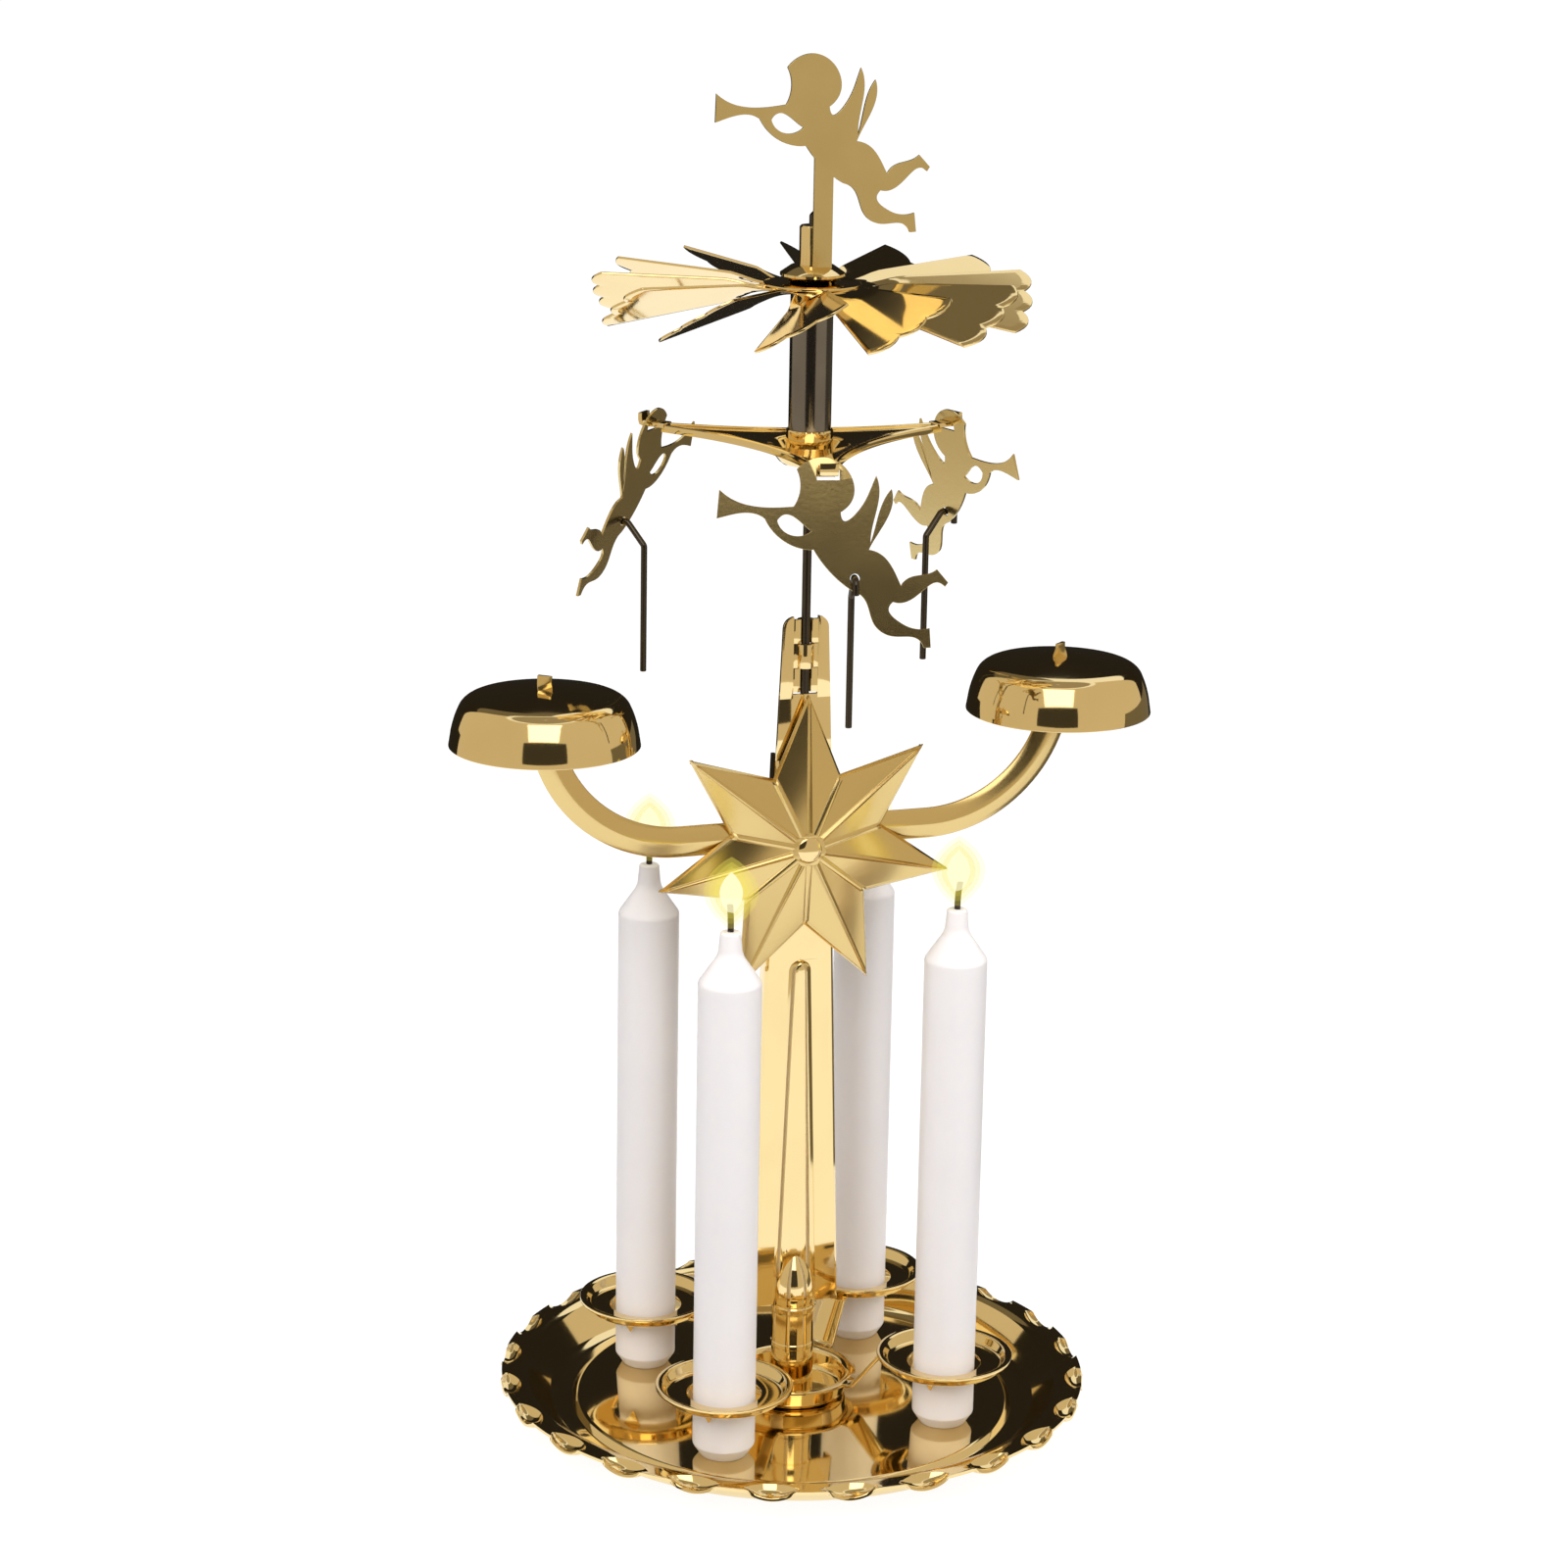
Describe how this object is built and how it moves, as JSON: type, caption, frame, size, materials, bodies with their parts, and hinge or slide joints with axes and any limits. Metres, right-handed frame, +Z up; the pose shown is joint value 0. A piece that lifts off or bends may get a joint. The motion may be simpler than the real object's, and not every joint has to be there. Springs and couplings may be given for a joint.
{
  "type": "angel chime candle carousel",
  "caption": "Polished brass candle carousel: a bladed wheel turned by candle heat carries hanging trumpet angels whose wire strikers ring shallow bells on curved arms.",
  "frame": {"origin": "centre of the tray's foot ring, on the table", "axes": "+Z up the spindle, star faces -Y, bells on -X and +X"},
  "size_m": [0.1472, 0.124, 0.2814],
  "materials": {
    "polished_brass": "mirror polished, lacquered brass sheet",
    "stamped_brass": "plain stamped brass sheet, slightly duller than the polished pieces",
    "steel_tube": "bright drawn steel tube",
    "steel_wire": "drawn steel wire",
    "wax": "smooth white candle wax, slightly translucent",
    "wick": "burnt braided cotton"
  },
  "bodies": {
    "stand": {"base_tray": "polished_brass", "candle_rack": "polished_brass", "column_socket": "polished_brass", "column": "polished_brass", "star": "polished_brass", "star_rivet": "polished_brass", "bell_arms": "polished_brass", "bell_left": "polished_brass", "bell_right": "polished_brass", "spindle": "steel_wire"},
    "rotor": {"rotor_tube": "steel_tube", "tube_bush": "polished_brass", "hub_sleeve": "polished_brass", "hub_collar": "polished_brass", "pivot_pin": "steel_wire", "turbine_wheel": "polished_brass", "angel_carrier": "polished_brass", "top_angel": "stamped_brass"},
    "angel_1": {"angel_1": "stamped_brass"},
    "striker_1": {"striker_1": "steel_wire"},
    "angel_2": {"angel_2": "stamped_brass"},
    "striker_2": {"striker_2": "steel_wire"},
    "angel_3": {"angel_3": "stamped_brass"},
    "striker_3": {"striker_3": "steel_wire"},
    "candle_1": {"candle_1": "wax", "wick_1": "wick"},
    "candle_2": {"candle_2": "wax", "wick_2": "wick"},
    "candle_3": {"candle_3": "wax", "wick_3": "wick"},
    "candle_4": {"candle_4": "wax", "wick_4": "wick"}
  },
  "joints": [
    {"name": "rotor_spin", "type": "hinge", "parent": "stand", "child": "rotor", "pos_m": [0, 0, 0.2061], "axis": [0, 0, 1], "continuous": true},
    {"name": "angel_1_swing", "type": "hinge", "parent": "rotor", "child": "angel_1", "pos_m": [-0.00776, -0.03362, 0.2061], "axis": [-0.9744, 0.225, 0], "range_deg": [0, 10]},
    {"name": "striker_1_swing", "type": "hinge", "parent": "angel_1", "child": "striker_1", "pos_m": [-0.00382, -0.03888, 0.18613], "axis": [-0.225, -0.9744, 0], "range_deg": [-35, 35]},
    {"name": "angel_2_swing", "type": "hinge", "parent": "rotor", "child": "angel_2", "pos_m": [0.03299, 0.01009, 0.2061], "axis": [0.2924, -0.9563, 0], "range_deg": [0, 10]},
    {"name": "striker_2_swing", "type": "hinge", "parent": "angel_2", "child": "striker_2", "pos_m": [0.03558, 0.01614, 0.18613], "axis": [0.9563, 0.2924, 0], "range_deg": [-35, 35]},
    {"name": "angel_3_swing", "type": "hinge", "parent": "rotor", "child": "angel_3", "pos_m": [-0.02523, 0.02353, 0.2061], "axis": [0.682, 0.7314, 0], "range_deg": [0, 10]},
    {"name": "striker_3_swing", "type": "hinge", "parent": "angel_3", "child": "striker_3", "pos_m": [-0.03177, 0.02275, 0.18613], "axis": [-0.7314, 0.682, 0], "range_deg": [-35, 35]},
    {"name": "candle_1_lift", "type": "slide", "parent": "stand", "child": "candle_1", "axis": [0, 0, 1], "range_m": [0, 0.025]},
    {"name": "candle_2_lift", "type": "slide", "parent": "stand", "child": "candle_2", "axis": [0, 0, 1], "range_m": [0, 0.025]},
    {"name": "candle_3_lift", "type": "slide", "parent": "stand", "child": "candle_3", "axis": [0, 0, 1], "range_m": [0, 0.025]},
    {"name": "candle_4_lift", "type": "slide", "parent": "stand", "child": "candle_4", "axis": [0, 0, 1], "range_m": [0, 0.025]}
  ]
}
